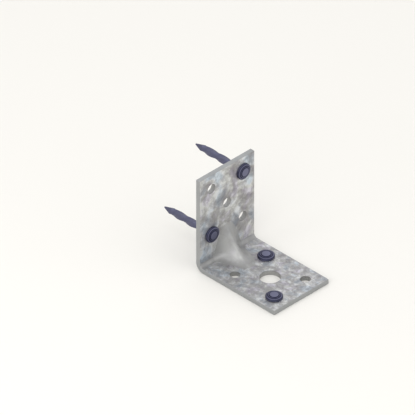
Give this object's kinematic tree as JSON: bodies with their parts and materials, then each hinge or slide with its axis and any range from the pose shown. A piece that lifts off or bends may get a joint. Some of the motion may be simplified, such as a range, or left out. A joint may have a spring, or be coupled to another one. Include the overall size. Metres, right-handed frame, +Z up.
{
  "type": "angle bracket",
  "caption": "Galvanised sheet steel angle bracket with a pressed corner rib, nail holes in both flanges, a larger bolt hole in the base flange and square twist nails seated in some holes.",
  "frame": {"origin": "centre of the bolt hole, on the underside of the base flange", "axes": "+Z up along the wall flange, +X away from the wall flange along the base flange, +Y across the width"},
  "size_m": [0.0775, 0.035, 0.0775],
  "materials": {
    "galvanised_steel": "matte hot-dip galvanised with cloudy spangle",
    "nail_steel": "dull blue-grey sherardised"
  },
  "bodies": {
    "root": {"bracket": "galvanised_steel", "wall_nail_upper": "nail_steel", "wall_nail_lower": "nail_steel", "base_nail_inner": "nail_steel", "base_nail_outer": "nail_steel"}
  },
  "joints": []
}
